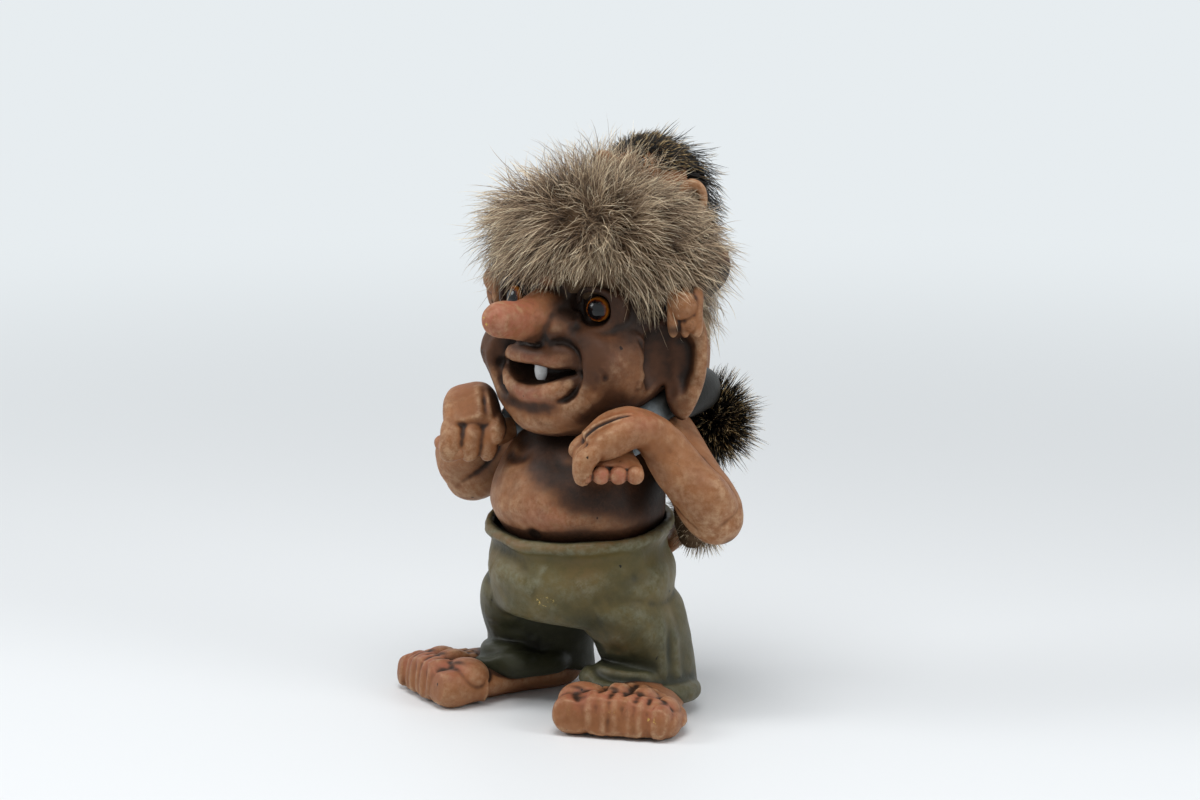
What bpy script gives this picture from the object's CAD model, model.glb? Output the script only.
import math
from functools import partial

import bmesh
import bpy
import numpy as np
from mathutils import Matrix, Vector
from mathutils.bvhtree import BVHTree
from mathutils.kdtree import KDTree


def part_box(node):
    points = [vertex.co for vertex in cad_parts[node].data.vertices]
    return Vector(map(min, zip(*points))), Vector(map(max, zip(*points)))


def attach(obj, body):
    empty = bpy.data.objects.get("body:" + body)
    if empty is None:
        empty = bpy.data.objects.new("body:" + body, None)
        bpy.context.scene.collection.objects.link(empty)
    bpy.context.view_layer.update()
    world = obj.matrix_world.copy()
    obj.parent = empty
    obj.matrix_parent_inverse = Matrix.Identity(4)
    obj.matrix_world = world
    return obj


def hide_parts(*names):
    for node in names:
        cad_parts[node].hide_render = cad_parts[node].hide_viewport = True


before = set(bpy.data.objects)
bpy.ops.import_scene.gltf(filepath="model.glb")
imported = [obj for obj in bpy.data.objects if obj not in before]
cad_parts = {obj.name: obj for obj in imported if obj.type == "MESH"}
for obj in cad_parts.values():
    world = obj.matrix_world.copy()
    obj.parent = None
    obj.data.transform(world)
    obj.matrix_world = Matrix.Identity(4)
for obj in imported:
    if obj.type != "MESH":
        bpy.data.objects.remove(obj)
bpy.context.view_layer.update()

# A cast and hand-painted troll with fur hair, carrying a small troll on its back.
# It is sculpted in millimetres about the middle of its ankles, facing -Y, and goes to the frame's metres last.
mm = 0.001
pinReach = 7.8  # the neck pin stands this far in front of the ankles
pinLow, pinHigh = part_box("neck_dowel")
middleY = (pinLow.y + pinHigh.y) / 2 + pinReach * mm
toTroll = Matrix.Scale(1 / mm, 4) @ Matrix.Translation((0, -middleY, 0))
toFrame = toTroll.inverted()
sides = (("left", 1), ("right", -1))
maskNames = ("wash", "blush", "chip", "tint", "rise")


# Mesh tools

def newObject(name, data):
    piece = bpy.data.objects.new(name, data)
    bpy.context.scene.collection.objects.link(piece)
    return piece


def applied(piece):
    graph = bpy.context.evaluated_depsgraph_get()
    mesh = bpy.data.meshes.new_from_object(piece.evaluated_get(graph))
    piece.modifiers.clear()
    return mesh


def poured(bm, name):
    # Puts a bmesh in a mesh, or in a new one of that name.
    mesh = bpy.data.meshes.new(name) if isinstance(name, str) else name
    bm.to_mesh(mesh)
    bm.free()
    return mesh


def voxelised(piece, voxel):
    remesh = piece.modifiers.new("Remesh", "REMESH")
    remesh.mode = "VOXEL"
    remesh.voxel_size = voxel
    piece.data = applied(piece)


def addLayer(mesh, label, values):
    mesh.attributes.new(label, "FLOAT", "POINT").data.foreach_set("value", values.astype(np.float32))


def flipped(places, side):
    return [(side * x, y, z) for x, y, z in places]


def turned(turn, across, forward, height):
    # A place in a frame that is turned outward about the ankles.
    angle = math.radians(turn)
    x = across * math.cos(angle) + forward * math.sin(angle)
    y = across * math.sin(angle) - forward * math.cos(angle)
    return np.array((x, y, height))


def ball(bm, centre, size, turn=0, lean=0):
    # A lump of clay: an egg of three radii, turned about Z and leaning about Y.
    tilt = Matrix.Rotation(math.radians(turn), 4, "Z") @ Matrix.Rotation(math.radians(lean), 4, "Y")
    place = Matrix.Translation(centre) @ tilt @ Matrix.Diagonal((*size, 1))
    bmesh.ops.create_uvsphere(bm, u_segments=32, v_segments=20, radius=1, matrix=place)


def roll(bm, route, radii, depths=None):
    # A sausage of clay along a route, closed at both ends.
    route = [Vector(p) for p in route]
    depths = depths or radii
    up = Vector((0, 0, 1))
    rings = []
    for i, centre in enumerate(route):
        along = (route[min(i + 1, len(route) - 1)] - route[max(i - 1, 0)]).normalized()
        across = (up - along * up.dot(along)).normalized()
        turn = Matrix((across, along.cross(across), along)).transposed().to_4x4()
        place = Matrix.Translation(centre) @ turn @ Matrix.Diagonal((radii[i], depths[i], 1, 1))
        made = bmesh.ops.create_circle(bm, cap_ends=False, segments=20, radius=1, matrix=place)
        ring = made["verts"]
        rings.append({edge for vert in ring for edge in vert.link_edges})
    for before, after in zip(rings, rings[1:]):
        bmesh.ops.bridge_loops(bm, edges=list(before | after))
    for ring in (rings[0], rings[-1]):
        bmesh.ops.edgeloop_fill(bm, edges=list(ring))


def smoothRoute(places, steps=8):
    # A curve through a few places chosen by hand.
    places = np.array(places, float)
    padded = np.vstack((2 * places[0] - places[1], places, 2 * places[-1] - places[-2]))
    route = []
    for i in range(1, len(padded) - 2):
        a, b, c, d = padded[i - 1:i + 3]
        for step in range(steps):
            t = step / steps
            route.append(0.5 * (2 * b + (c - a) * t + (2 * a - 5 * b + 4 * c - d) * t ** 2
                                + (3 * b - a - 3 * c + d) * t ** 3))
    route.append(places[-1])
    return np.array(route)


def unit(ways):
    return ways / np.linalg.norm(ways, axis=1)[:, None].clip(1e-6)


def ease(value, start, span):
    # From 0 at the start to 1 where the span ends.
    return np.clip((value - start) / span, 0, 1)


class Clay:
    # A cast piece while it is sculpted: its points, its normals and its paint masks.

    def __init__(self, name, node, voxel, rounds, *stages):
        self.node = node
        voxel *= 1
        bm = bmesh.new()
        bm.from_mesh(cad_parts[node].data)
        bmesh.ops.remove_doubles(bm, verts=bm.verts, dist=1e-6)
        bmesh.ops.transform(bm, matrix=toTroll, verts=bm.verts)
        self.piece = newObject(name, poured(bm, name))
        for kind, shape in stages:
            if kind == "add":
                bm = bmesh.new()
                bm.from_mesh(self.piece.data)
                shape(bm)
                poured(bm, self.piece.data)
            else:
                voxelised(self.piece, voxel)
                self.cut(shape, voxel)
        voxelised(self.piece, voxel)
        smooth = self.piece.modifiers.new("Smooth", "SMOOTH")
        smooth.factor = 0.5
        smooth.iterations = rounds
        self.piece.data = applied(self.piece)
        self.mesh = self.piece.data
        count = len(self.mesh.vertices)
        self.points = np.empty(count * 3, np.float32)
        self.mesh.vertices.foreach_get("co", self.points)
        self.points = self.points.reshape(-1, 3).astype(float)
        self.edges = np.empty(len(self.mesh.edges) * 2, np.int32)
        self.mesh.edges.foreach_get("vertices", self.edges)
        self.edges = self.edges.reshape(-1, 2)
        self.degree = np.bincount(self.edges.ravel(), minlength=count).clip(1)
        self.masks = {mask: np.zeros(count) for mask in maskNames}
        self.refresh()

    def cut(self, shape, voxel):
        bm = bmesh.new()
        shape(bm)
        cutter = newObject("cutter", poured(bm, "cutter"))
        voxelised(cutter, voxel)
        cutting = self.piece.modifiers.new("Cut", "BOOLEAN")
        cutting.operation = "DIFFERENCE"
        cutting.object = cutter
        self.piece.data = applied(self.piece)
        bpy.data.objects.remove(cutter)

    def refresh(self):
        self.mesh.vertices.foreach_set("co", self.points.astype(np.float32).ravel())
        self.mesh.update()
        normals = np.empty(self.points.size, np.float32)
        self.mesh.vertex_normals.foreach_get("vector", normals)
        self.normals = normals.reshape(-1, 3).astype(float)

    def blur(self, values, rounds):
        a, b = self.edges.T
        for _ in range(rounds):
            if values.ndim == 1:
                values = (np.bincount(a, values[b], len(values)) + np.bincount(b, values[a], len(values))) / self.degree
            else:
                values = np.stack([self.blur(column, 1) for column in values.T], 1)
        return values

    def reach(self, centre, size):
        offset = (self.points - np.array(centre)) / np.array(size)
        return np.exp(-(offset ** 2).sum(1))

    def swell(self, centre, size, amount):
        # Pushes the surface out, or in where the amount is below zero.
        self.points += self.normals * (amount * self.reach(centre, size))[:, None]

    def pull(self, centre, size, move):
        self.points += self.reach(centre, size)[:, None] * np.array(move)

    def along(self, places, width, fade=0.25):
        # How near each point is to a line, from 1 on it to 0, fading towards its ends.
        route = smoothRoute(places)
        best = np.full(len(self.points), 1e9)
        travel = np.zeros(len(self.points))
        for i in range(len(route) - 1):
            start, way = route[i], route[i + 1] - route[i]
            t = np.clip(((self.points - start) @ way) / max(way @ way, 1e-9), 0, 1)
            gap = ((self.points - start - t[:, None] * way) ** 2).sum(1)
            nearer = gap < best
            best[nearer] = gap[nearer]
            travel[nearer] = ((i + t) / (len(route) - 1))[nearer]
        ends = ease(np.minimum(travel, 1 - travel), 0, fade)
        return np.exp(-best / width ** 2) * ends, best

    def groove(self, places, width, depth, wash=0.8, lip=0.0, fade=0.25):
        near, gap = self.along(places, width, fade)
        rim = np.exp(-((np.sqrt(gap) - 1.9 * width) / width) ** 2) * (near > 0) * lip
        self.points += self.normals * (rim - near * depth)[:, None]
        mask = self.masks["wash"]
        self.masks["wash"] = np.where(near > 0.03, np.maximum(mask, near * wash), mask)

    def ridge(self, places, width, height):
        near, _ = self.along(places, width, 0.3)
        self.points += self.normals * (near * height)[:, None]

    def stain(self, mask, centre, size, amount):
        self.masks[mask] = np.clip(self.masks[mask] + self.reach(centre, size) * amount, -1, 1)

    def soften(self, centre, size, rounds):
        weight = self.reach(centre, size)[:, None]
        for _ in range(rounds):
            self.points += (self.blur(self.points, 1) - self.points) * weight * 0.6

    def lumps(self, size, height, seed):
        # Uneven hand-worked surface, as the sum of seven waves.
        rng = np.random.default_rng(seed)
        total = np.zeros(len(self.points))
        for _ in range(7):
            way = rng.normal(size=3)
            way *= 2 * math.pi / (size * np.linalg.norm(way) * rng.uniform(0.7, 1.5))
            total += np.sin(self.points @ way + rng.uniform(0, 6.28))
        self.points += self.normals * (total * height / 7)[:, None]

    def work(self, side, steps):
        # Does steps in order: what, where, then its measures. A mask's name stains, and side -1 mirrors the place.
        tools = {"swell": self.swell, "pull": self.pull, "groove": self.groove, "ridge": self.ridge,
                 "soften": self.soften}
        for what, where, *measures in steps:
            where = flipped(where, side) if isinstance(where, list) else (side * where[0], *where[1:])
            if what in tools:
                tools[what](where, *measures)
            else:
                self.stain(what, where, *measures)

    def cavity(self, rounds, size):
        # Above zero in hollows and below it on ridges.
        sunk = ((self.blur(self.points, rounds) - self.points) * self.normals).sum(1)
        return sunk / size

    def tree(self):
        self.refresh()
        return BVHTree.FromPolygons(self.points.tolist(), [tuple(face.vertices) for face in self.mesh.polygons])


def shadeDepth(clay, trees, reach, rays):
    # The share of the outlook that near surfaces close, where the dark wash stays.
    rng = np.random.default_rng(11)
    ways = unit(rng.normal(size=(rays, 3)))
    closed = np.zeros(len(clay.points))
    starts = clay.points + clay.normals * 0.6
    for i in range(len(clay.points)):
        start = Vector(starts[i])
        for way in clay.normals[i] + ways * 0.95:
            for tree in trees:
                hit = tree.ray_cast(start, Vector(way), reach)
                if hit[0] is not None:
                    closed[i] += 1 - 0.5 * hit[3] / reach
                    break
    return clay.blur(closed / rays, 4)


# Materials

def nodeGroup(name, inputs, outputs):
    # Sockets carry a colour, or a value where a number is given.
    tree = bpy.data.node_groups.new(name, "ShaderNodeTree")
    for way, sockets in (("INPUT", inputs), ("OUTPUT", outputs)):
        for label, value in sockets.items():
            kind = "NodeSocketFloat" if isinstance(value, float) else "NodeSocketColor"
            socket = tree.interface.new_socket(label, in_out=way, socket_type=kind)
            socket.default_value = value
    return tree, tree.nodes.new("NodeGroupInput").outputs, tree.nodes.new("NodeGroupOutput").inputs


def connect(node, links):
    # Gives a node's sockets their links or values.
    for socket, value in links.items():
        if isinstance(value, bpy.types.NodeSocket):
            node.id_data.links.new(value, node.inputs[socket])
        else:
            node.inputs[socket].default_value = value


def add(tree, kind, links=None, **settings):
    node = tree.nodes.new("ShaderNode" + kind)
    for key, value in settings.items():
        setattr(node, key, value)
    connect(node, links or {})
    return node


def mixColour(tree, share, first, second, blend="MIX"):
    return add(tree, "Mix", {0: share, 6: first, 7: second}, data_type="RGBA", blend_type=blend).outputs[2]


def maths(tree, operation, *values, clamp=False):
    return add(tree, "Math", dict(enumerate(values)), operation=operation, use_clamp=clamp).outputs[0]


def times(tree, *values, clamp=False):
    return maths(tree, "MULTIPLY", *values, clamp=clamp)


def ramp(tree, value, low, high):
    node = add(tree, "MapRange", {"Value": value, "From Min": low, "From Max": high},
               interpolation_type="SMOOTHSTEP")
    return node.outputs["Result"]


def objectPlace(tree):
    return add(tree, "TexCoord").outputs["Object"]


def noise(tree, place, scale, detail=3.0, rough=0.55):
    node = add(tree, "TexNoise", {"Vector": place, "Scale": scale, "Detail": detail, "Roughness": rough})
    return node.outputs["Fac"]


black, white = (0, 0, 0, 1), (1, 1, 1, 1)


def buildMottle():
    tree, source, target = nodeGroup("Mottle", {"Dark": black, "Light": white, "Scale": 150.0, "Contrast": 0.3},
                                     {"Color": white})
    place = objectPlace(tree)
    spots = noise(tree, place, source["Scale"], 5.0, 0.6)
    low = maths(tree, "SUBTRACT", 0.5, source["Contrast"])
    high = maths(tree, "ADD", 0.5, source["Contrast"])
    mixed = mixColour(tree, ramp(tree, spots, low, high), source["Dark"], source["Light"])
    tree.links.new(mixed, target["Color"])
    return tree


def buildBrushWash():
    # Thin dark paint that stays in the folds, with a brushed, uneven edge.
    tree, source, target = nodeGroup("BrushWash", {"Color": white, "Paint": black, "Mask": 0.0, "Scale": 200.0,
                                                   "Breakup": 0.5}, {"Color": white})
    place = objectPlace(tree)
    coarse = noise(tree, place, source["Scale"], 6.0, 0.65)
    broken = times(tree, maths(tree, "SUBTRACT", coarse, 0.5), source["Breakup"])
    gate = ramp(tree, source["Mask"], 0.02, 0.2)
    total = maths(tree, "ADD", source["Mask"], times(tree, broken, gate))
    mixed = mixColour(tree, ramp(tree, total, 0.0, 0.95), source["Color"], source["Paint"])
    tree.links.new(mixed, target["Color"])
    return tree


def buildFlecks():
    # Small separate spots of another paint.
    tree, source, target = nodeGroup("Flecks", {"Color": white, "Paint": black, "Scale": 300.0, "Size": 0.1,
                                                "Share": 0.2}, {"Color": white})
    place = objectPlace(tree)
    warp = add(tree, "TexNoise", {"Vector": place, "Scale": source["Scale"], "Detail": 2.0})
    bent = mixColour(tree, 0.004, place, warp.outputs["Color"], "ADD")
    cells = add(tree, "TexVoronoi", {"Vector": bent, "Scale": source["Scale"]})
    spot = ramp(tree, cells.outputs["Distance"], source["Size"], times(tree, source["Size"], 0.6))
    pick = add(tree, "SeparateColor", {0: cells.outputs["Color"]}).outputs[0]
    share = times(tree, spot, maths(tree, "LESS_THAN", pick, source["Share"]))
    mixed = mixColour(tree, share, source["Color"], source["Paint"])
    tree.links.new(mixed, target["Color"])
    return tree


def buildCastGrain():
    # The cast surface: brush marks, a fine grain and hairline cracks.
    tree, source, target = nodeGroup("CastGrain", {"Cracks": 0.3}, {"Height": 0.0, "Crack": 0.0})
    place = objectPlace(tree)
    soft = noise(tree, place, 500.0, 6.0, 0.6)
    fine = noise(tree, place, 2600.0, 3.0, 0.6)
    bend = add(tree, "TexNoise", {"Vector": place, "Scale": 260.0, "Detail": 3.0})
    bent = mixColour(tree, 0.006, place, bend.outputs["Color"], "ADD")
    cells = add(tree, "TexVoronoi", {"Vector": bent, "Scale": 330.0}, feature="DISTANCE_TO_EDGE")
    crack = ramp(tree, cells.outputs["Distance"], 0.05, 0.0)
    patch = ramp(tree, noise(tree, place, 90.0, 2.0), 0.5, 0.66)
    crack = times(tree, times(tree, crack, patch), source["Cracks"])
    height = maths(tree, "ADD", times(tree, soft, 0.7), times(tree, fine, 0.22))
    height = maths(tree, "SUBTRACT", height, crack)
    tree.links.new(height, target["Height"])
    tree.links.new(crack, target["Crack"])
    return tree


groups = {"mottle": buildMottle(), "wash": buildBrushWash(), "flecks": buildFlecks(), "grain": buildCastGrain()}


def placed(tree, name, links):
    return add(tree, "Group", links, node_tree=groups[name]).outputs


def newMaterial(name):
    material = bpy.data.materials.new(name)
    material.use_nodes = True
    return material, material.node_tree, material.node_tree.nodes["Principled BSDF"]


def rgb(red, green, blue):
    return (red, green, blue, 1.0)


skinLook = {
    "dark": rgb(0.175, 0.064, 0.023), "light": rgb(0.315, 0.132, 0.053), "patch": 110.0,
    "red": rgb(0.36, 0.105, 0.068), "pale": rgb(0.52, 0.34, 0.20),
    "wash": rgb(0.017, 0.0085, 0.005), "soft": rgb(0.078, 0.031, 0.014), "chip": rgb(0.55, 0.36, 0.09),
    "cracks": 0.35, "roughness": (0.42, 0.58), "bump": 0.35,
}
trouserLook = {
    "dark": rgb(0.050, 0.048, 0.018), "light": rgb(0.155, 0.112, 0.040), "patch": 75.0,
    "red": rgb(0.155, 0.082, 0.032), "pale": rgb(0.20, 0.20, 0.135),
    "wash": rgb(0.010, 0.010, 0.007), "soft": rgb(0.030, 0.030, 0.015), "chip": rgb(0.50, 0.36, 0.10),
    "cracks": 0.1, "roughness": (0.36, 0.52), "bump": 0.3,
}
smallTrouserLook = {
    "dark": rgb(0.09, 0.11, 0.115), "light": rgb(0.21, 0.245, 0.26), "patch": 140.0,
    "red": rgb(0.16, 0.16, 0.14), "pale": rgb(0.42, 0.48, 0.52),
    "wash": rgb(0.010, 0.009, 0.007), "soft": rgb(0.028, 0.026, 0.022), "chip": rgb(0.45, 0.4, 0.3),
    "cracks": 0.1, "roughness": (0.38, 0.52), "bump": 0.3,
}


def castPaint(name, look):
    # Brushed colour, a soft brown wash, a dark wash in the folds, worn ridges and a few chips.
    material, tree, shader = newMaterial(name)
    mask = {name: add(tree, "Attribute", attribute_name=name).outputs["Fac"] for name in maskNames}
    place = objectPlace(tree)
    colour = placed(tree, "mottle", {"Dark": look["dark"], "Light": look["light"], "Scale": look["patch"],
                                     "Contrast": 0.42})["Color"]
    worn = times(tree, mask["rise"], ramp(tree, noise(tree, place, 330.0, 6.0, 0.7), 0.3, 0.75))
    colour = mixColour(tree, times(tree, worn, 0.8, clamp=True), colour, look["pale"])
    pink = times(tree, mask["blush"], ramp(tree, noise(tree, place, 300.0, 4.0), 0.2, 0.62))
    colour = mixColour(tree, times(tree, pink, 0.95, clamp=True), colour, look["red"])
    half = times(tree, maths(tree, "ADD", mask["wash"], mask["tint"]), 1.5, clamp=True)
    colour = placed(tree, "wash", {"Color": colour, "Paint": look["soft"], "Mask": half,
                                   "Scale": 170.0, "Breakup": 0.75})["Color"]
    colour = placed(tree, "wash", {"Color": colour, "Paint": look["wash"], "Mask": mask["wash"],
                                   "Scale": 330.0, "Breakup": 0.8})["Color"]
    grain = placed(tree, "grain", {"Cracks": look["cracks"]})
    colour = mixColour(tree, times(tree, grain["Crack"], 0.8), colour, look["soft"])
    colour = placed(tree, "flecks", {"Color": colour, "Paint": look["wash"], "Scale": 210.0, "Size": 0.13,
                                     "Share": 0.05})["Color"]
    flake = ramp(tree, noise(tree, place, 750.0, 4.0, 0.7), 0.56, 0.62)
    flake = times(tree, flake, ramp(tree, mask["chip"], 0.2, 0.7))
    colour = mixColour(tree, flake, colour, look["chip"])
    smooth, dull = look["roughness"]
    sheen = add(tree, "MapRange", {"Value": noise(tree, place, 160.0, 4.0), "To Min": smooth, "To Max": dull})
    height = maths(tree, "ADD", grain["Height"], times(tree, flake, -0.5))
    bump = add(tree, "Bump", {"Height": height, "Strength": look["bump"], "Distance": 0.0006})
    connect(shader, {"Base Color": colour, "Roughness": sheen.outputs["Result"], "Specular IOR Level": 0.2,
                     "Normal": bump.outputs["Normal"]})
    return material


def colourStops(tree, share, stops):
    colours = add(tree, "ValToRGB", {"Fac": share})
    while len(colours.color_ramp.elements) < len(stops):
        colours.color_ramp.elements.new(0.5)
    for element, (spot, colour) in zip(colours.color_ramp.elements, stops):
        element.position, element.color = spot, colour
    return colours.outputs["Color"]


def furMaterial(name, stops, gloss, specular):
    # A strand is dark at its root and light at its tip, and each one has its own tone.
    material, tree, shader = newMaterial(name)
    along = add(tree, "Attribute", attribute_name="along").outputs["Fac"]
    tone = add(tree, "Attribute", attribute_name="tone").outputs["Fac"]
    shade = maths(tree, "ADD", along, times(tree, maths(tree, "SUBTRACT", tone, 0.5), 0.55))
    bright = maths(tree, "ADD", 0.55, times(tree, tone, 0.9))
    grey = add(tree, "CombineColor", {0: bright, 1: bright, 2: bright}).outputs[0]
    connect(shader, {"Base Color": mixColour(tree, 1.0, colourStops(tree, shade, stops), grey, "MULTIPLY"),
                     "Roughness": gloss, "Specular IOR Level": specular})
    return material


def eyeMaterial(name, centre, facing, radius):
    # Amber glass over a black pupil, ringed about the line of sight.
    material, tree, shader = newMaterial(name)
    place = objectPlace(tree)
    offset = add(tree, "VectorMath", {0: place, 1: tuple(centre)}, operation="SUBTRACT").outputs[0]
    along = add(tree, "VectorMath", {0: offset, 1: tuple(facing)}, operation="DOT_PRODUCT").outputs["Value"]
    angle = maths(tree, "ARCCOSINE", maths(tree, "DIVIDE", along, radius * 1.0001, clamp=True))
    streak = times(tree, maths(tree, "SUBTRACT", noise(tree, place, 900.0, 3.0), 0.5), 0.18)
    stops = [(0.0, rgb(0.003, 0.003, 0.004)), (0.46, rgb(0.004, 0.004, 0.005)), (0.54, rgb(0.11, 0.018, 0.003)),
             (0.64, rgb(0.40, 0.12, 0.012)), (0.72, rgb(0.20, 0.07, 0.01)), (0.82, rgb(0.008, 0.006, 0.005))]
    share = maths(tree, "ADD", maths(tree, "DIVIDE", angle, 1.5), streak)
    connect(shader, {"Base Color": colourStops(tree, share, stops), "Roughness": 0.07, "Specular IOR Level": 0.2,
                     "Coat Weight": 0.3, "Coat Roughness": 0.02})
    return material


def toothMaterial():
    material, tree, shader = newMaterial("Tooth enamel")
    colour = placed(tree, "mottle", {"Dark": rgb(0.36, 0.36, 0.36), "Light": rgb(0.62, 0.64, 0.65), "Scale": 260.0,
                                     "Contrast": 0.25})["Color"]
    connect(shader, {"Base Color": colour, "Roughness": 0.32})
    return material


furStops = {
    "grey": [(0.0, rgb(0.036, 0.022, 0.013)), (0.3, rgb(0.125, 0.080, 0.048)), (0.6, rgb(0.29, 0.20, 0.125)),
             (0.82, rgb(0.52, 0.40, 0.26)), (1.0, rgb(0.78, 0.67, 0.48))],
    "dark": [(0.0, rgb(0.005, 0.004, 0.003)), (0.74, rgb(0.009, 0.007, 0.005)), (0.86, rgb(0.12, 0.070, 0.024)),
             (0.95, rgb(0.40, 0.26, 0.10)), (1.0, rgb(0.58, 0.44, 0.23))],
}
paint = {
    "skin": castPaint("Painted skin", skinLook),
    "trousers": castPaint("Painted trousers", trouserLook),
    "smallTrousers": castPaint("Painted small trousers", smallTrouserLook),
    "greyFur": furMaterial("Grey fur", furStops["grey"], 0.4, 0.35),
    "darkFur": furMaterial("Black fur with golden tips", furStops["dark"], 0.38, 0.35),
    "greyFurFelt": furMaterial("Grey felt under the fur", furStops["grey"], 0.9, 0.03),
    "darkFurFelt": furMaterial("Black felt under the fur", furStops["dark"], 0.9, 0.03),
    "tooth": toothMaterial(),
}
print("materials ready")


def settle(piece, node):
    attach(piece, "root")
    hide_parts(node)


def handOver(clay, material):
    # Works out the paint masks, puts the piece in the frame and gives it to its body.
    masks = clay.masks
    fine, broad = clay.cavity(5, 0.12), clay.cavity(40, 1.1)
    hollow = (np.clip(fine, 0, 1) * 0.55 + np.clip(broad, 0, 1) * 0.5) * (0.4 if material == "trousers" else 1)
    masks["wash"] = np.clip(masks["wash"] + clay.blur(hollow, 2), 0, 1.2)
    masks["rise"] = np.clip(masks["rise"] + clay.blur(-fine, 2) * 0.8 + np.clip(-broad, 0, 1) * 0.5, 0, 1)
    for name, values in masks.items():
        addLayer(clay.mesh, name, values)
    finished(clay, material)


def finished(clay, material):
    clay.mesh.transform(toFrame)
    clay.mesh.shade_smooth()
    clay.mesh.materials.append(paint[material])
    settle(clay.piece, clay.node)


# Head
# Each lip row is across, reach, height and half thickness; the grin is lopsided.
headShape = {
    "nose": [(0, -27, 146), (0, -35, 145.6), (0, -43, 146.6), (0, -51, 148.2), (0, -57, 149.2)],
    "noseRadius": (11.4, 9.2, 7.2, 6.4, 6.1),
    "upperLip": [(-17.2, 30.6, 128.6, 1.2), (-14.5, 33.2, 131.0, 2.2), (-12, 34.6, 132.1, 3.0), (-9, 35.9, 132.5, 3.5),
                 (-3, 37.0, 132.9, 3.5), (0, 37.1, 132.8, 3.3), (3, 37.0, 132.8, 3.5), (6, 36.4, 133.2, 4.5),
                 (9, 35.4, 133.4, 5.0), (12, 34.2, 133.0, 4.6), (15, 32.6, 131.9, 3.5), (17.8, 30.6, 129.3, 1.8)],
    "lowerLip": [(-17.4, 30.2, 127.2, 1.2), (-15.4, 32.8, 124.4, 2.4), (-12, 35.0, 121.9, 3.2), (-9, 36.6, 120.4, 3.3),
                 (-6, 37.4, 119.1, 3.3), (-3, 37.9, 118.6, 3.5), (0, 38.1, 118.5, 3.7), (3, 37.9, 118.8, 3.9),
                 (6, 37.2, 119.5, 4.0), (9, 36.2, 120.6, 4.0), (12, 34.8, 122.1, 3.7), (15, 33.0, 124.4, 2.5),
                 (18, 30.4, 126.6, 1.2)],
    "opening": [(-16.2, 31.5, 129.0, 0.7), (-12, 34, 127.2, 2.0), (-9, 35, 126.3, 2.7), (-6, 36, 125.7, 3.6),
                (-3, 36, 125.7, 3.9), (0, 36, 125.9, 3.8), (3, 36, 125.9, 3.3), (6, 36, 126.1, 2.6),
                (9, 35, 126.6, 1.9), (12, 34, 127.2, 1.3), (15, 32.5, 127.6, 0.9), (18, 31, 127.6, 0.6)],
    "fold": [(12, -34.5, 143.5), (18, -34, 140.5), (22.6, -33, 136), (24.4, -31.8, 130), (23, -31.5, 123),
             (17, -35, 116.5)],
}
eyelids = [([(11.6, -25.6, 151), (13.8, -27.2, 155.8), (19.4, -27.0, 157.8), (25.2, -24.4, 155.6),
             (27.4, -21.6, 150.4)], 1.35),
           ([(11.8, -25.9, 149), (14.0, -27.6, 144.6), (19.4, -28.2, 142.6), (25.0, -25.2, 144.4),
             (27.2, -22, 149.4)], 1.3)]


def rows(name, depth=None):
    # A lip's route, its radii and its depths, from its rows.
    shape = headShape[name]
    return ([(x, -reach, height) for x, reach, height, _ in shape], [half for *_, half in shape],
            [depth or half * 0.95 for *_, half in shape])


def cutFace(bm):
    # Takes the plain face back, for the sockets and for the hollow that the mouth stands in.
    ball(bm, (0, -48, 127.5), (17, 17, 14.5))
    for _, side in sides:
        ball(bm, (side * 15.4, -43, 129), (9.0, 13.5, 14.5), side * 14)
        ball(bm, (side * 17.4, -34, 151.5), (8.8, 14, 9.4), side * 14, side * -8)
        hollow = turned(side * 37, side * -6, 0, 131) + np.array((side * 40.5, -2.7, 0)) + turned(side * 37, 0, 4.4, 0)
        ball(bm, hollow, (9.4, 5.8, 15.0), side * 37)


def addFace(bm):
    roll(bm, headShape["nose"], headShape["noseRadius"])
    ball(bm, (0, -57, 149.3), (6.0, 5.4, 6.0))
    ball(bm, (0, -23, 160), (7.2, 8.5, 15))
    ball(bm, (0, -19, 127.5), (18.6, 18.6, 14))
    roll(bm, *rows("upperLip"))
    roll(bm, *rows("lowerLip"))
    ball(bm, (0, -29.4, 110.6), (15.5, 10.2, 8.2))
    for _, side in sides:
        ball(bm, (side * 7.4, -31.5, 143.8), (6.4, 8, 6.2))
        ball(bm, (side * 20.5, -20.4, 150), (9.4, 5.6, 9.4))
        for lid, thick in eyelids:
            roll(bm, smoothRoute(flipped(lid, side), 3), [0.7, *[thick] * 11, 0.7])


def cutOpenings(bm):
    roll(bm, *rows("opening", 9.0))
    for _, side in sides:
        ball(bm, (side * 19.9, -25.6, 150), (6.0, 5.2, 6.0))


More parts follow.
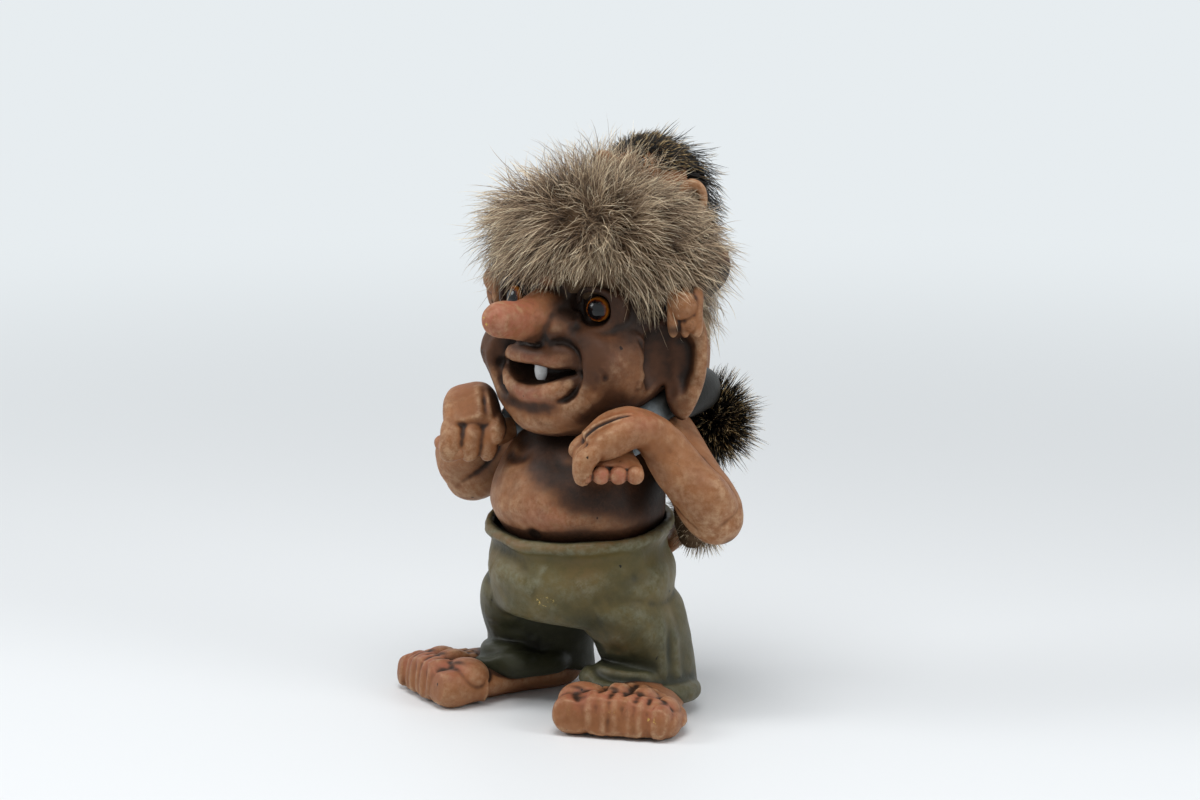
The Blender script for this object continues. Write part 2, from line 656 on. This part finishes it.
head = Clay("trollHead", "head", 0.627, 4, ("cut", cutFace), ("add", addFace), ("cut", cutOpenings))
head.pull((0, -54, 150), (14, 15, 14), (0, 0, -1.5))
for _ in range(2):
    head.soften((0, -34, 160), (16, 12, 9), 8)
    head.soften((0, -34, 114.5), (24, 14, 4.0), 6)
for _, side in sides:
    head.work(side, [
        ("soften", (24, -33, 129), (4.5, 8, 15), 26), ("soften", (12, -32, 143.5), (6, 8, 4.5), 14),
        ("soften", (29, -24, 153), (5, 9, 9), 14), ("swell", (28.5, -30, 132), (6, 7, 7.5), 2.0),
        ("swell", (24.5, -34, 141), (6, 6, 4), 1.4), ("swell", (17, -38, 115), (7, 7, 5), 0.8),
        ("groove", headShape["fold"], 2.6, 0.7, 0.2, 0.3),
        ("groove", [(27, -33.5, 131), (28.6, -32, 129), (29.0, -31.5, 126)], 0.8, 1.2, 1.0, 0.3),
        ("groove", [(33.4, -20, 143), (35.2, -17, 136), (35.6, -15, 129), (34, -17, 121)], 0.9, 0.8, 0.6, 0.5),
        ("groove", [(18.5, -27.5, 141.2), (23, -26.5, 140.4), (27.5, -23.5, 142)], 1.1, 0.5, 0.6),
        ("wash", (19, -34, 119), (7, 6, 5), -0.3), ("wash", (33.5, -13, 131), (3, 6, 11), -0.4),
        ("blush", (27, -33, 136), (8, 8, 6), 0.55), ("blush", (20, -32, 140.5), (5, 6, 3), 0.4),
        ("wash", (18.5, -27, 152.5), (9.5, 10, 7.0), 1.25), ("wash", (12, -30, 153), (4, 8, 6), 0.8),
        ("wash", (20, -33, 132), (4.5, 6, 8), 0.2), ("wash", (12, -37, 139.2), (8, 5, 2.4), 0.75),
        ("wash", (38, -9, 131), (4.5, 8, 13), 0.4), ("wash", (34, -15, 146), (7, 11, 9), 0.9),
        ("wash", (30, -20, 112), (12, 10, 5.5), 0.55), ("tint", (26, -33, 134), (9, 10, 11), 0.45),
        ("tint", (37.5, -6, 133), (6, 10, 16), 0.9), ("rise", (45.5, -1, 131), (3.5, 6, 16), 0.6),
        ("rise", (30.5, -29, 131), (4.5, 6, 8), 0.55), ("rise", (22, -34, 118.5), (7, 5, 3.5), 0.4),
    ])
head.work(1, [
    ("groove", [(-19, -32, 122), (-14, -36.5, 116.6), (-7, -40, 114.4), (0, -41, 113.7), (7, -40.3, 114.2),
               (14, -37, 116.4), (19.5, -32.5, 121)], 2.6, 0.6, 0.2, 0.2, 0.3),
    ("wash", (-12, -37, 116), (7, 6, 3), 0.4), ("blush", (0, -52, 149), (9, 15, 9), 1.0),
    ("chip", (-1.5, -60, 147), (4, 4, 5), 0.8), ("blush", (2, -41, 133.5), (15, 5, 3.5), 0.6),
    ("blush", (0, -42, 119), (14, 5, 4), 0.6), ("wash", (0, -29, 126), (17, 5.5, 4), 1.0),
    ("tint", (3, -39, 138.5), (16, 7, 4.5), 0.75),
])
head.masks["tint"] += 0.17
head.stain("tint", (0, -50, 149), (9, 14, 9), -0.25)
head.lumps(9, 0.22, 3)
head.lumps(4, 0.08, 4)
print("head sculpted", len(head.points))

# Torso
torso = Clay("trollTorso", "torso", 0.75, 6)
torso.swell((2, -39, 67.6), (1.6, 4, 1.6), -0.9)
torso.stain("wash", (2, -39, 67.6), (2.2, 4, 2.0), 0.9)
torso.swell((-3, -40, 80), (15, 10, 10), 0.8)
torsoWash = [((10.4, -36.3, 89.5), (9, 9, 4.5), 0.95), ((18.9, -36.2, 82.5), (7, 9, 5), 0.8),
             ((27, -29.8, 82), (7, 9, 6), 0.85), ((33, -18, 80.5), (8, 10, 8), 0.95), ((32, -3, 80), (8, 10, 11), 0.9),
             ((1.1, -35.5, 93), (6, 8, 3.5), 0.6), ((-10.5, -29.6, 98), (9, 9, 4), 0.45),
             ((4.3, -29.1, 99.5), (10, 9, 4.5), 0.85), ((0, -20, 109), (34, 34, 8), 0.7),
             ((-33, -18, 84), (6, 9, 9), 0.6), ((22, -22, 96), (9, 9, 6), 0.8), ((20, -35, 69), (10, 8, 3), 0.5)]
for place, size, amount in torsoWash:
    torso.stain("wash", place, size, amount * 0.72)
torso.stain("blush", (8, -40, 75), (10, 8, 6), 0.4)
for _, side in sides:
    torso.groove(flipped([(3, -32, 95), (12, -33, 92), (22, -26, 93)], side), 3.0, 1.0, 0.3)
torso.masks["tint"] += 0.14
torso.lumps(11, 0.3, 5)

# Arms and hands
arms = {}
for name, side in sides:
    clay = Clay(f"{name}Arm", f"{name}_arm", 0.5, 5)
    if side > 0:
        clay.groove([(43, -33, 116), (38, -37.5, 114), (32.8, -40, 111.2), (28.8, -42.6, 107.3), (27.7, -45.2, 102)],
                    0.8, 1.0, 0.4, 0.3, 0.3)
        clay.soften((32, -44, 104), (7, 6, 8), 8)
    else:
        for finger in ([(-34, -30, 116.5), (-29, -36, 113), (-25, -39.5, 108.5), (-23, -41, 103)],
                       [(-27, -27, 116), (-22, -33, 112), (-18.5, -36, 107.5), (-17.5, -37, 103)]):
            clay.groove(finger, 1.2, 0.8, 0.15, 0.3, 0.3)
        clay.soften((-26, -41, 104), (8, 6, 9), 16)
        clay.pull((-33, -34, 105), (15, 18, 15), (5, 1, 0))
    clay.work(side, [
        ("wash", (46, -14, 100), (5, 6, 4), 0.4), ("rise", (60, -6, 74), (10, 13, 10), 1.2),
        ("rise", (56, -20, 92), (6, 6, 9), 0.3), ("blush", (44, -30, 114), (9, 8, 5), 0.35),
        ("wash", (63, -2, 68), (3, 4, 2), 0.6), ("wash", (45, -6, 84), (6, 8, 9), 0.5),
    ])
    clay.lumps(8, 0.22, 8 if side > 0 else 9)
    clay.lumps(3.4, 0.07, 12)
    arms[name] = clay

# Trousers
def addCuffs(bm):
    # The cloth sags into a thick hem over each foot.
    for _, side in sides:
        route = flipped([(12, -6, 12), (13.5, -16, 12), (18, -24.5, 12), (26, -30, 12), (35, -27.5, 11),
                         (41.5, -17, 9.5), (42, -3, 8), (37, 9, 7)], side)
        roll(bm, smoothRoute(route, 3), [3.0, *[4.2] * 20, 3.0])
        ball(bm, (side * 27, -21, 14), (15.5, 10.5, 6.5), side * 24)


trousers = Clay("trollTrousers", "trousers", 0.72, 6, ("add", addCuffs))
trousers.soften((0, -36, 36), (40, 16, 8), 30)
trousers.soften((0, -20, 14), (50, 26, 8), 6)
trousers.stain("wash", (0, -34, 60), (50, 24, 3.6), -0.55)
for _, side in sides:
    trousers.work(side, [
        ("groove", [(24, -34, 44), (31, -26, 50), (37.5, -16, 55)], 3.8, 1.2, 0.05, 0.3),
        ("groove", [(38.5, -6, 68), (40.5, -8, 58), (42, -9, 48), (43, -9, 38), (43, -10, 27),
                   (42, -10, 14)], 2.4, 0.9, 0.0, 0.5, 0.15),
        ("groove", [(14, -18, 18.5), (20, -27, 17.5), (28, -31, 17), (37, -27, 16),
                   (43, -13, 14)], 1.6, 0.8, 0.12, 0.4, 0.2),
        ("groove", [(17, -24, 27), (25, -29, 24), (34, -27, 27)], 2.4, 0.9, 0.12, 0.3),
        ("ridge", [(12, -24, 33), (20, -30, 30), (30, -30, 29), (38, -22, 32)], 3.5, 0.9),
        *[("rise", (42.5, 4, height), (4, 10, 8), 0.5) for height in (16, 28, 40, 52, 64)],
        ("rise", (8, 0, 22), (4, 8, 12), 0.5), ("wash", (26, -28, 8), (16, 10, 3.5), 0.5),
        ("wash", (16, -20, 24), (7, 9, 9), 0.35), ("tint", (33, -25, 47), (7, 9, 7), 0.25),
        ("tint", (22, -34, 38), (9, 9, 5), 0.25), ("blush", (30, -28, 25), (6, 6, 8), 0.6),
        ("blush", (22, -36, 55), (8, 8, 6), 0.35),
    ])
trousers.groove([(-26, -34, 59), (-14, -40, 60.5), (-5, -43, 57), (6, -43, 51)], 2.8, 0.9, 0.0, 0.4)
trousers.ridge([(-32, -31, 66), (-16, -42, 63.2), (0, -44, 62.4), (14, -42, 63), (28, -34, 67)], 1.8, 0.7)
near, _ = trousers.along([(-37, -20, 70), (-26, -36, 66.5), (-10, -43, 64.8), (6, -44.4, 64.6), (22, -38.5, 66),
                          (33, -27, 68.5), (39, -10, 71)], 2.2, 0.05)
trousers.masks["blush"] = np.maximum(trousers.masks["blush"], near)
toFar = 1 / (1 + np.exp((trousers.points[:, 0] - 10) / 4))
trousers.masks["tint"] += (0.3 + 0.28 * toFar) / (1 + np.exp((trousers.points[:, 2] - 37 + 3 * toFar) / 2.6))
trousers.stain("chip", (8, -42, 43.5), (5, 6, 2.2), 0.95)
trousers.stain("chip", (16, -42, 47), (2.5, 6, 1.4), 0.6)
trousers.stain("rise", (-4, -42, 52), (16, 9, 8), 0.35)
trousers.lumps(16, 0.6, 21)
trousers.lumps(6, 0.16, 22)

# Feet
# The first three toes lie side by side as one block, seamed down its flat front. Rows are across, width and top.
toeRows = [(-15.4, 17.2, 17.2), (-2.0, 9.8, 17.4), (7.5, 9.6, 16.4), (16.2, 8.6, 13.8)]
toeSeams = [-6.8, 2.8, 12.1]
footTurn, footApart = 24, 25.5
toeFront, frontLean = 53.6, 0.12


def onFoot(side, across, forward, height):
    x, y, z = turned(footTurn, across, forward, height)
    return (side * (x + footApart), y, z)


def addToes(side):
    def shape(bm):
        block = [(-17.5, 45.5, 8.0), (-8, 47.5, 8.3), (3, 47.5, 8.0), (12, 46.5, 7.4), (17.5, 44.5, 6.6)]
        roll(bm, [onFoot(side, *place) for place in block], (6.6, 7.8, 7.7, 7.1, 5.8))
        for across, width, top in toeRows:
            ball(bm, onFoot(side, across, 40, top - 6.2), (width * 0.52, 8.0, 6.2), side * footTurn)
            ball(bm, onFoot(side, across, 48.3, 6.7), (width * 0.52, 6.9, 6.5), side * footTurn)
    return shape


def squareFront(clay, side):
    # Presses the toes against a board, so that they end in one flat face.
    angle = math.radians(footTurn)
    ahead = np.array((side * math.sin(angle), -math.cos(angle), 0))
    reach = (clay.points - np.array((side * footApart, 0, 0))) @ ahead
    limit = toeFront - clay.points[:, 2] * frontLean
    over = np.clip(reach - limit, 0, None)
    clay.points -= ahead * (over * 0.75)[:, None]


feet = {}
for name, side in sides:
    clay = Clay(f"{name}Foot", f"{name}_foot", 0.46, 4, ("add", addToes(side)))
    squareFront(clay, side)
    at = partial(onFoot, side)
    for seam in toeSeams:
        clay.groove([at(seam, *place) for place in ((53.5, 1.5), (53.6, 7), (51.5, 12), (46, 15.6), (38, 16.2),
                                                    (31, 14.5))], 1.5, 0.45, 0.0, 0.5, 0.12)
        clay.groove([at(seam, f, h) for f, h in ((51, 13), (46, 15.4), (38, 16.2), (30, 15))], 0.7, 0.5, 0.65)
        clay.stain("wash", at(seam, 53.5, 5.5), (1.8, 4, 5), -0.75)
    for across, width, top in toeRows:
        nail = at(across, 48.6, top - 3.4)
        clay.swell(nail, (width * 0.3, 3.2, 2.8), -0.9)
        clay.stain("wash", nail, (width * 0.26, 2.6, 2.2), 0.25)
        clay.stain("wash", at(across, 44.5, top - 0.6), (width * 0.3, 1.2, 1.5), 0.5)
        clay.groove([at(across - width * 0.36, 37, top - 0.4), at(across, 36, top + 0.2),
                     at(across + width * 0.36, 37, top - 0.4)], 0.5, 0.4, 0.25)
        clay.stain("blush", at(across, 47, top - 3), (width * 0.5, 7, 5), 0.7)
    for across, forward, height in ((-17, 55, 9), (-1, 55, 10), (14, 53, 8), (-12, 55, 3)):
        clay.stain("chip", at(across, forward, height), (2.2, 2.6, 1.5), 0.95 if side > 0 else 0.5)
    clay.groove([at(-16, 55.5, 12), at(-15.2, 56, 9.5), at(-16.4, 56, 6), at(-15, 55.5, 2)], 0.3, 0.5, 0.9)
    clay.groove([at(-5, 55.6, 8.4), at(-2, 56, 7.6), at(2, 55.6, 8.2)], 0.3, 0.4, 0.8)
    clay.stain("wash", (side * 26, -16, 15), (14, 14, 6), 0.9)
    clay.stain("wash", at(22, 20, 3), (4, 26, 3), 0.4)
    clay.points[:, 2] = np.maximum(clay.points[:, 2], 0.05)
    clay.lumps(8, 0.16, 31)
    clay.lumps(3, 0.06, 32)
    feet[name] = clay
print("big troll sculpted")

# Small troll
smallNames = {"small_head": ("smallHead", "skin", 0.5), "small_body": ("smallBody", "skin", 0.7)}
for part, material, voxel in (("arm", "skin", 0.4), ("leg", "smallTrousers", 0.6), ("foot", "skin", 0.4)):
    for name, _ in sides:
        smallNames[f"small_{name}_{part}"] = (f"small{name.title()}{part.title()}", material, voxel)
smallNames["tail"] = ("bigTail", "skin", 0.4)
smallNames["small_tail"] = ("smallTail", "skin", 0.3)


def addKnuckles(side):
    def shape(bm):
        ball(bm, (side * 44.6, -6.6, 151.6), (5.6, 4.6, 5.4), side * 30)
        ball(bm, (side * 46.4, -4.6, 146.6), (3.6, 3.6, 5.0), side * 30)
    return shape


small = {}
for node, (name, material, voxel) in smallNames.items():
    side = -1 if "right" in node else 1
    stages = [("add", addKnuckles(side))] if node.endswith("_arm") else []
    small[node] = Clay(name, node, voxel, 4, *stages)
for name, side in sides:
    leg = small[f"small_{name}_leg"]
    leg.stain("wash", (side * 36, 16, 117), (12, 17, 14), 2.5)
    fist = small[f"small_{name}_arm"]
    fist.lumps(4, 0.25, 51)
    fist.stain("wash", (side * 43, 18, 158), (10, 16, 10), 1.4)
    fist.stain("wash", (side * 43, -9, 143), (4, 4, 2), 0.4)
    toes = small[f"small_{name}_foot"]
    toes.stain("blush", turned(side * 40, side * 3.4, 61, 95), (9, 9, 4), 0.7)
    toes.lumps(4, 0.15, 52)
for node in ("small_right_foot", "small_right_leg"):
    small[node].pull((-33, -34, 100), (17, 18, 17), (5, 1, 0))
print("small troll sculpted")

# Dark wash wherever pieces close in on each other
pieces = {"head": head, "torso": torso, "trousers": trousers, **arms,
          **{f"{name}Foot": foot for name, foot in feet.items()}}
allTrees = {name: clay.tree() for name, clay in {**pieces, **small}.items()}
rays = 8
closeTo = {"head": ["torso", "left", "right"], "torso": ["head", "left", "right", "trousers"],
           "left": ["head", "torso"], "right": ["head", "torso"],
           "trousers": ["torso", "leftFoot", "rightFoot"], "leftFoot": ["trousers"], "rightFoot": ["trousers"]}
for name, clay in pieces.items():
    closed = shadeDepth(clay, [allTrees[other] for other in (name, *closeTo[name])], 14, rays)
    shut = 0.42 if name in arms else 0.3
    clay.masks["wash"] += np.clip((closed - shut) * 1.1, 0, 1)
    clay.masks["tint"] += np.clip((closed - shut * 0.5) * 0.7, 0, 1)
print("wash laid")

for name, clay in pieces.items():
    handOver(clay, "trousers" if name == "trousers" else "skin")
for node, (_, material, _) in smallNames.items():
    handOver(small[node], material)

# Eyes
eyes = {}
for name, side in sides:
    eyes[f"{name}_eye"] = {"centre": (side * 19, -22.5, 150), "turn": side * 16, "tilt": 0, "radius": 5.0}
for name, side in sides:
    eyes[f"small_{name}_eye"] = {"centre": (side * 6.5, 17.0, 197.0), "turn": 0, "tilt": 28, "radius": 2.6}
for node, eye in eyes.items():
    facing = Vector(turned(eye["turn"], 0, math.cos(math.radians(eye["tilt"])), math.sin(math.radians(eye["tilt"]))))
    centre = toFrame @ Vector(eye["centre"])
    bm = bmesh.new()
    bmesh.ops.create_uvsphere(bm, u_segments=48, v_segments=32, radius=eye["radius"] * mm,
                              matrix=Matrix.Translation(centre) @ facing.to_track_quat("Z", "Y").to_matrix().to_4x4())
    mesh = poured(bm, node + "Glass")
    mesh.shade_smooth()
    mesh.materials.append(eyeMaterial(node + " amber glass", centre, facing, eye["radius"] * mm))
    settle(newObject(node + "Glass", mesh), node)
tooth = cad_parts["tooth"].data.materials
tooth.clear()
tooth.append(paint["tooth"])

# Fur
def strandMesh(name, paths, widths, tones, material):
    # Each strand is a three-sided tapered tube, closed to a point at both ends.
    count, knots, _ = paths.shape
    ring = bpy.data.curves.new("strandRing", "CURVE")
    ring.dimensions = "2D"
    spline = ring.splines.new("POLY")
    spline.points.add(2)
    for point, angle in zip(spline.points, (90, 210, 330)):
        point.co = (math.cos(math.radians(angle)), math.sin(math.radians(angle)), 0, 1)
    spline.use_cyclic_u = True
    ringObject = newObject("strandRing", ring)
    curve = bpy.data.curves.new(name, "CURVE")
    curve.dimensions = "3D"
    curve.bevel_mode = "OBJECT"
    curve.bevel_object = ringObject
    taper = np.interp(np.linspace(0, 1, knots), (0, 0.03, 0.5, 0.8, 1), (0, 1, 0.9, 0.55, 0))
    for path, width in zip(paths, widths):
        spline = curve.splines.new("POLY")
        spline.points.add(knots - 1)
        spline.points.foreach_set("co", np.hstack((path, np.ones((knots, 1)))).ravel())
        spline.points.foreach_set("radius", taper * width)
    piece = newObject(name, curve)
    mesh = applied(piece)
    bpy.data.objects.remove(piece)
    bpy.data.objects.remove(ringObject)
    along = np.tile(np.repeat(np.linspace(0, 1, knots), 3), count)
    addLayer(mesh, "along", along)
    addLayer(mesh, "tone", np.repeat(tones, knots * 3))
    bm = bmesh.new()
    bm.from_mesh(mesh)
    bmesh.ops.remove_doubles(bm, verts=bm.verts, dist=1e-4)
    bmesh.ops.transform(bm, matrix=toFrame, verts=bm.verts)
    poured(bm, mesh)
    mesh.materials.clear()
    mesh.materials.append(material)
    mesh.shade_smooth()
    mesh.name = name
    return newObject(name, mesh)


def scalpRoots(tree, centre, wanted, rng, keep):
    # Random places on a surface, found by looking outward from a centre inside it.
    roots, normals = [], []
    while len(roots) < wanted:
        way = Vector(rng.normal(size=3)).normalized()
        spot, normal, _, _ = tree.ray_cast(Vector(centre) + way * 200, -way)
        if spot is None or not keep(spot):
            continue
        roots.append(spot)
        normals.append(normal)
    return np.array(roots), np.array(normals)


def groom(roots, starts, lengths, rng, fall, curl, clump, guides=12, knots=6):
    # Grows the strands knot by knot, bends them down and gathers their tips in locks.
    count = len(roots)
    paths = np.empty((count, knots, 3))
    paths[:, 0] = roots
    ways = unit(starts)
    step = (lengths / (knots - 1))[:, None]
    twist = rng.normal(size=(count, 3)) * curl
    for knot in range(1, knots):
        ways = unit(ways + np.array((0, 0, -fall)) + twist + rng.normal(size=(count, 3)) * curl * 0.5)
        paths[:, knot] = paths[:, knot - 1] + ways * step
    leaders = rng.choice(count, max(1, count // guides), replace=False)
    finder = KDTree(len(leaders))
    for i, leader in enumerate(leaders):
        finder.insert(Vector(paths[leader, 2]), i)
    finder.balance()
    chosen = np.array([leaders[finder.find(Vector(place))[1]] for place in paths[:, 2]])
    share = (np.linspace(0, 1, knots) ** 1.4)[None, :, None]
    offset = (paths[:, 0] - paths[chosen, 0])[:, None, :] * (1 - 0.7 * share)
    strength = clump * rng.uniform(0.3, 1.0, count)[:, None, None]
    return paths + (paths[chosen] + offset - paths) * share * strength


def drift(places, size, seed):
    # A slow random bend that neighbouring strands share.
    waves = np.random.default_rng(seed)
    total = np.zeros_like(places)
    for _ in range(6):
        way = waves.normal(size=3)
        way *= 2 * math.pi / (size * np.linalg.norm(way) * waves.uniform(0.6, 1.6))
        total += np.sin(places @ way + waves.uniform(0, 6.28))[:, None] * waves.normal(size=3)
    return total / 2.4


def tangent(ways, normals):
    return unit(ways - normals * (ways * normals).sum(1)[:, None])


thin = 1.0


def undercoat(name, node, centre, share, material, lumpy=1.6):
    # A dark felted core under the strands, so that no skin shows between them.
    clay = Clay(name, node, 1.35, 4)
    clay.points = np.array(centre) + (clay.points - np.array(centre)) * np.array(share)
    clay.refresh()
    clay.lumps(5, lumpy, 41)
    addLayer(clay.mesh, "along", np.clip(0.26 + 0.12 * drift(clay.points, 3, 71)[:, 0], 0.1, 0.5))
    addLayer(clay.mesh, "tone", np.full(len(clay.points), 0.4))
    tree = clay.tree()
    finished(clay, material + "Felt")
    return tree


hairShape = {
    "centre": (0, -1, 160), "ceiling": 217.5, "whorl": (20, -30, 186), "core": (0.86, 0.85, 0.86),
    "strands": 4500, "pieces": 4, "length": (14, 27), "width": (0.07, 0.14), "flyaway": 0.03,
    "front": 167, "temple": 148, "back": 138,
}
rng = np.random.default_rng(5)
coreTree = undercoat("trollHairCore", "hair", hairShape["centre"], hairShape["core"], "greyFur")


def hairRim(spot):
    # The height of the hairline, lower at the temples and lowest at the nape.
    forward = max(0.0, min(1.0, (20 - spot.y) / 40))
    beside = max(0.0, min(1.0, (abs(spot.x) - 24) / 12))
    front = hairShape["front"] + (hairShape["temple"] - hairShape["front"]) * beside
    return hairShape["back"] + (front - hairShape["back"]) * forward


whorl = Vector(hairShape["whorl"])
for index in range(hairShape["pieces"] + 1):
    # The last piece only fills in round the whorl, where the other strands part.
    filling = index == hairShape["pieces"]
    count = int(hairShape["strands"] * thin * (0.36 if filling else 1))
    roots, normals = scalpRoots(coreTree, hairShape["centre"], count, rng,
                                lambda spot: (spot - whorl).length < 17 if filling else spot.z > hairRim(spot))
    offset = roots - np.array(hairShape["whorl"])
    away = tangent(offset + drift(roots, 11, 63) * 6, normals)
    near = np.exp(-(np.linalg.norm(offset, axis=1) / 10) ** 2)[:, None]
    x, y, z = roots.T
    low = ease(-z, -172, 16)
    crown = ease(z, 176, 16) * ease(y, -34, 20)
    lift = rng.uniform(0.3, 1.0, count)[:, None] * (1 - 0.25 * crown[:, None]) + 0.5 * near
    starts = away + normals * lift + rng.normal(size=(count, 3)) * (0.24 + 0.5 * near) - low[:, None] * (0, 0, 0.35)
    starts += drift(roots, 16, 61) * 0.5 + drift(roots, 6, 62) * 0.35
    lengths = rng.uniform(*hairShape["length"], count) * (1 - 0.3 * low - 0.05 * crown)
    beside = ease(np.abs(x), 6, 10) * ease(y, -4, 12) * ease(z, 166, 10)
    lengths *= 1 - 0.5 * beside
    overEyes = ease(-z, -184, 10) * (y < 0) * np.exp(-((np.abs(x) - 17) / 10) ** 2)
    lengths *= 1 - (0.45 + 0.2 * (x < 0)) * overEyes
    stray = rng.random(count) < hairShape["flyaway"]
    lengths[stray] *= 1.45
    paths = groom(roots - normals * 0.8, starts, lengths, rng, 0.12, 0.10, 0.55)
    # A strand that would pass the ceiling is shortened.
    rise = paths[:, :, 2].max(1) - paths[:, 0, 2]
    kept = np.clip((hairShape["ceiling"] - paths[:, 0, 2]) / np.maximum(rise, 0.1), 0, 1)
    paths = paths[:, :1] + (paths - paths[:, :1]) * kept[:, None, None]
    piece = strandMesh(f"trollHair{index + 1}", paths, rng.uniform(*hairShape["width"], count),
                       rng.beta(2, 2, count), paint["greyFur"])
    settle(piece, "hair")
print("big hair groomed")

smallHairShape = {"centre": (0, 34, 172), "core": (0.86, 0.86, 0.93), "strands": 3600, "length": (9, 17),
                  "sweep": (0.0, 0.8, -0.6), "crown": (0, 27, 187), "crownStrands": 3200}
smallCore = undercoat("smallHairCore", "small_hair", smallHairShape["centre"], smallHairShape["core"], "darkFur", 0.9)


def plant(name, roots, starts, length, bend, width, fur, node):
    count = len(roots)
    paths = groom(roots, starts, rng.uniform(*length, count), rng, *bend)
    piece = strandMesh(name, paths, rng.uniform(*width, count), rng.beta(2, 2.4, count), paint[fur])
    settle(piece, node)


def smallFur(name, tree, centre, strands, length, keep):
    count = int(smallHairShape[strands] * thin)
    roots, normals = scalpRoots(tree, smallHairShape[centre], count, rng, keep)
    away = tangent(np.tile(smallHairShape["sweep"], (count, 1)), normals)
    starts = away + normals * rng.uniform(0.25, 0.65, count)[:, None] + rng.normal(size=(count, 3)) * 0.16
    plant(name, roots - normals * 0.6, starts, length, (0.04, 0.05, 0.65), (0.09, 0.16), "darkFur", "small_hair")


smallFur("smallHair1", smallCore, "centre", "strands", smallHairShape["length"], lambda spot: spot.z > 160)
smallFur("smallHair2", smallCore, "centre", "strands", smallHairShape["length"], lambda spot: 138 < spot.z < 170)
smallFur("smallHair3", allTrees["small_head"], "crown", "crownStrands", (5, 9),
         lambda spot: spot.z > 196 and spot.y > 15 and abs(spot.x) < 15)
print("small hair groomed")


def tuftFur(name, centre, size, lean, count, length, fur, node):
    # A brush of fur that bursts from the end of a tail.
    count = int(count * thin)
    ways = unit(rng.normal(size=(count, 3)))
    roots = np.array(centre) + ways * np.array(size) * rng.uniform(0.15, 0.75, count)[:, None]
    plant(name, roots, ways + np.array(lean), length, (0.03, 0.05, 0.6), (0.09, 0.15), fur, node)


undercoat("smallTuftCore", "small_tail_tuft", (20, 42, 98), (0.72, 0.72, 0.76), "darkFur", 0.8)
undercoat("bigTuftCore", "tail_tuft", (24, 29, 67), (0.7, 0.7, 0.8), "greyFur", 0.6)
tuftFur("smallTailTuft", (22, 38, 100), (12, 11, 14), (0.25, -0.1, 0.2), 4000, (8, 16), "darkFur", "small_tail_tuft")
tuftFur("bigTailTuft", (24, 29, 67), (6, 6, 11), (0, 0, -0.1), 2600, (7, 13), "greyFur", "tail_tuft")
print("fur done")

# Stage, lamps and camera
stageShape = {"size": 12.0, "near": 0.22, "far": 1.1, "colour": rgb(0.80, 0.845, 0.87)}
cameraShape = {"azimuth": 40, "elevation": 11, "lens": 150, "sensor": 36, "pixels": 1200, "perMillimetre": 2.73,
               "aim": (0, 0, 110.8)}


def pixelRays(tree):
    path = add(tree, "LightPath")
    seen = maths(tree, "ADD", path.outputs["Is Camera Ray"], path.outputs["Is Glossy Ray"])
    return maths(tree, "ADD", seen, path.outputs["Is Transmission Ray"], clamp=True)


def lamp(name, place, size, watts):
    # A round lamp that looks at the middle of the figure.
    light = bpy.data.lights.new(name, "AREA")
    light.shape = "DISK"
    light.size = size
    light.energy = watts
    holder = newObject(name, light)
    holder.location = place
    holder.rotation_euler = (Vector((0, 0, 0.1)) - Vector(place)).to_track_quat("-Z", "Y").to_euler()


bm = bmesh.new()
bmesh.ops.create_grid(bm, x_segments=24, y_segments=24, size=stageShape["size"])
mesh = poured(bm, "studioFloor")
floor = newObject("studioFloor", mesh)
material, tree, shader = newMaterial("Pale studio floor")
connect(shader, {"Base Color": rgb(0.80, 0.82, 0.835), "Roughness": 0.55})
away = add(tree, "VectorMath", {0: objectPlace(tree)}, operation="LENGTH").outputs["Value"]
distant = times(tree, ramp(tree, away, stageShape["near"], stageShape["far"]), pixelRays(tree))
glow = add(tree, "Emission", {"Color": stageShape["colour"], "Strength": 1.0})
both = add(tree, "MixShader", {0: distant, 1: shader.outputs[0], 2: glow.outputs[0]})
connect(tree.nodes["Material Output"], {"Surface": both.outputs[0]})
mesh.materials.append(material)
world = bpy.data.worlds.new("studio")
bpy.context.scene.world = world
world.use_nodes = True
tree = world.node_tree
strength = add(tree, "MapRange", {"Value": pixelRays(tree), "To Min": 0.42, "To Max": 1.0})
sky = mixColour(tree, pixelRays(tree), rgb(0.86, 0.88, 0.90), stageShape["colour"])
connect(tree.nodes["Background"], {"Color": sky, "Strength": strength.outputs["Result"]})

lamp("topLamp", (0.15, -0.25, 1.1), 0.8, 7.5)
lamp("leftLamp", (-0.7, -0.7, 0.65), 0.5, 4.0)
lamp("rightLamp", (1.0, 0.1, 0.55), 0.5, 3.0)
azimuth, elevation = math.radians(cameraShape["azimuth"]), math.radians(cameraShape["elevation"])
back = Vector((math.sin(azimuth) * math.cos(elevation), -math.cos(azimuth) * math.cos(elevation),
               math.sin(elevation)))
distance = cameraShape["pixels"] / cameraShape["perMillimetre"] * mm * cameraShape["lens"] / cameraShape["sensor"]
data = bpy.data.cameras.new("camera")
data.lens = cameraShape["lens"]
data.sensor_width = cameraShape["sensor"]
camera = newObject("camera", data)
camera.location = toFrame @ Vector(cameraShape["aim"]) + back * distance
camera.rotation_euler = (-back).to_track_quat("-Z", "Y").to_euler()
bpy.context.scene.camera = camera
bpy.context.scene.view_settings.view_transform = "Standard"

print("sizes written")
